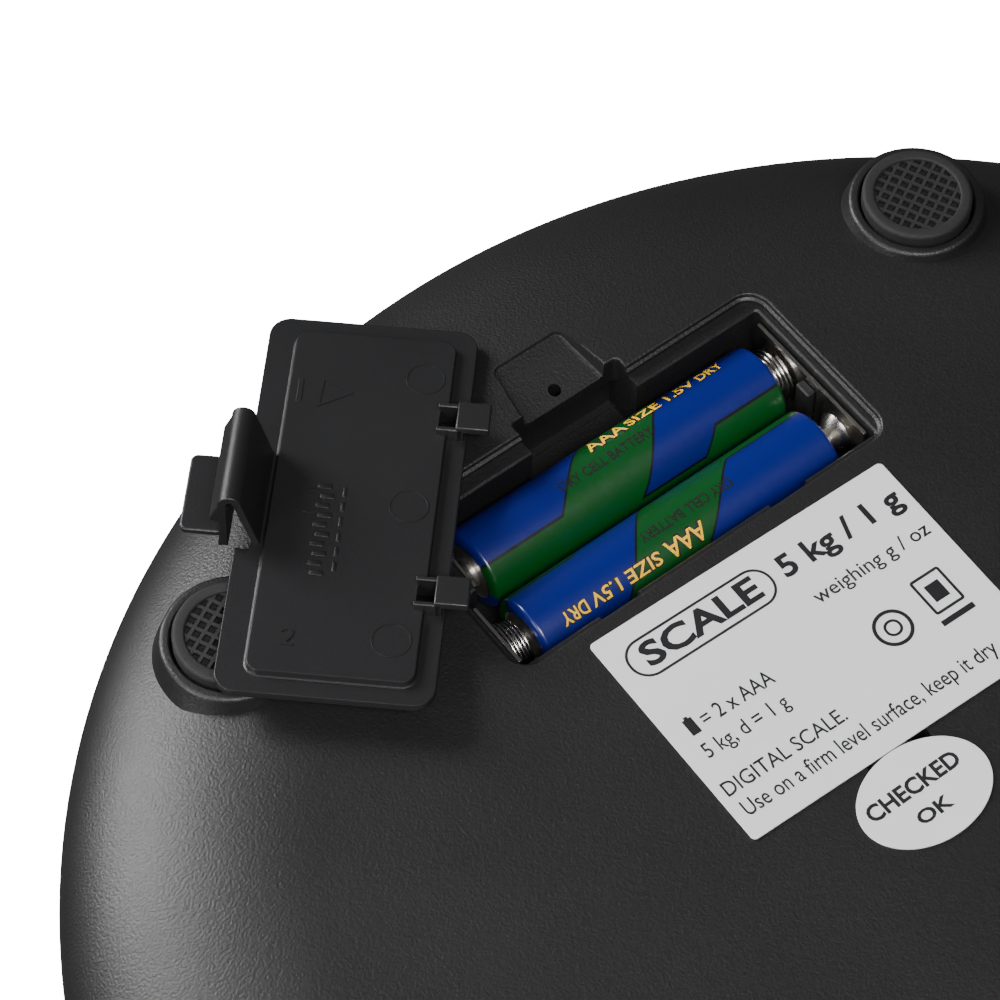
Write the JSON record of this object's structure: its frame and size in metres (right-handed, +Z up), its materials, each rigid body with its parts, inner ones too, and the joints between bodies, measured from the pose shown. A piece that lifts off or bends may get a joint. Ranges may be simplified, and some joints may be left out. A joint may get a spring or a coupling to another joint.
{
  "type": "digital kitchen scale",
  "caption": "Round black digital scale lying upside down, with its battery compartment open and the cover lying beside it.",
  "frame": {"origin": "centre of the weighing platform's face, on which the scale lies upside down", "axes": "+Z up, out of the underside; +Y from the centre to the battery compartment, away from the display; +X along the dry cells. Turn the part 180 degrees about X to stand it on its feet for weighing."},
  "size_m": [0.1974, 0.1974, 0.0502],
  "materials": {
    "housing": "fine even grain, matt black ABS",
    "cover": "smoother matt black ABS",
    "platform": "satin black plastic",
    "buttons": "satin",
    "inner_plastic": "plain",
    "load_cell": "milled",
    "contacts": "nickel plated spring steel",
    "screws": "zinc plated",
    "board": "solder mask",
    "epoxy": "satin",
    "window": "clear plastic, tinted",
    "lcd": "reflective liquid crystal display",
    "silicone": "satin",
    "sticker": "semi-matt white film with black print",
    "foot": "matt black, cross-ribbed pad",
    "cell": "printed blue and green sleeve over a steel can",
    "red_wire": "insulated",
    "black_wire": "insulated",
    "grey_wire": "insulated"
  },
  "bodies": {
    "base": {"base_shell": "housing", "upper_shell": "housing", "load_cell": "load_cell", "gauge_seal_base_side": "silicone", "gauge_seal_platform_side": "silicone", "load_cell_screw_1": "screws", "load_cell_screw_2": "screws", "housing_screw_1": "screws", "housing_screw_2": "screws", "housing_screw_3": "screws", "housing_screw_4": "screws", "foot_1": "foot", "foot_2": "foot", "foot_3": "foot", "foot_4": "foot", "contact_bridge": "contacts", "contact_positive": "contacts", "contact_negative": "contacts", "spring_1": "contacts", "spring_2": "contacts", "battery_lead_red": "red_wire", "battery_lead_black": "black_wire", "load_cell_cable": "grey_wire", "circuit_board": "board", "board_screw_1": "screws", "board_screw_2": "screws", "chip_blob": "epoxy", "lcd_window": "window", "lcd_glass": "lcd", "lcd_holder": "inner_plastic", "zebra_strip": "silicone", "tare_switch": "inner_plastic", "unit_switch": "inner_plastic", "rating_label": "sticker", "check_sticker": "sticker"},
    "platform_group": {"platform": "platform", "platform_frame": "platform", "platform_screw_1": "screws", "platform_screw_2": "screws"},
    "tare_button": {"tare_button": "buttons"},
    "unit_button": {"unit_button": "buttons"},
    "cell_1": {"cell_1": "cell"},
    "cell_2": {"cell_2": "cell"},
    "battery_cover": {"battery_cover": "cover"},
    "cover_latch": {"cover_latch": "cover"}
  },
  "joints": [
    {"name": "platform_travel", "type": "slide", "parent": "base", "child": "platform_group", "axis": [0, 0, 1], "range_m": [0, 0.00025], "stiffness_N_per_m": 70000},
    {"name": "tare_press", "type": "slide", "parent": "base", "child": "tare_button", "axis": [0, 0, 1], "range_m": [0, 0.0005], "stiffness_N_per_m": 3000},
    {"name": "unit_press", "type": "slide", "parent": "base", "child": "unit_button", "axis": [0, 0, 1], "range_m": [0, 0.0005], "stiffness_N_per_m": 3000},
    {"name": "cell_1_lift", "type": "slide", "parent": "base", "child": "cell_1", "axis": [0, 0, 1], "range_m": [0, 0.004]},
    {"name": "cell_2_lift", "type": "slide", "parent": "base", "child": "cell_2", "axis": [0, 0, 1], "range_m": [0, 0.03]},
    {"name": "battery_cover_lift", "type": "slide", "parent": "base", "child": "battery_cover", "axis": [0, 0, 1], "range_m": [0, 0.04]},
    {"name": "latch_flex", "type": "hinge", "parent": "battery_cover", "child": "cover_latch", "pos_m": [-0.03957, 0.07881, 0.04917], "axis": [-0.6737, -0.7352, 0.075], "range_deg": [0, 7], "stiffness_Nm_per_rad": 0.35}
  ]
}
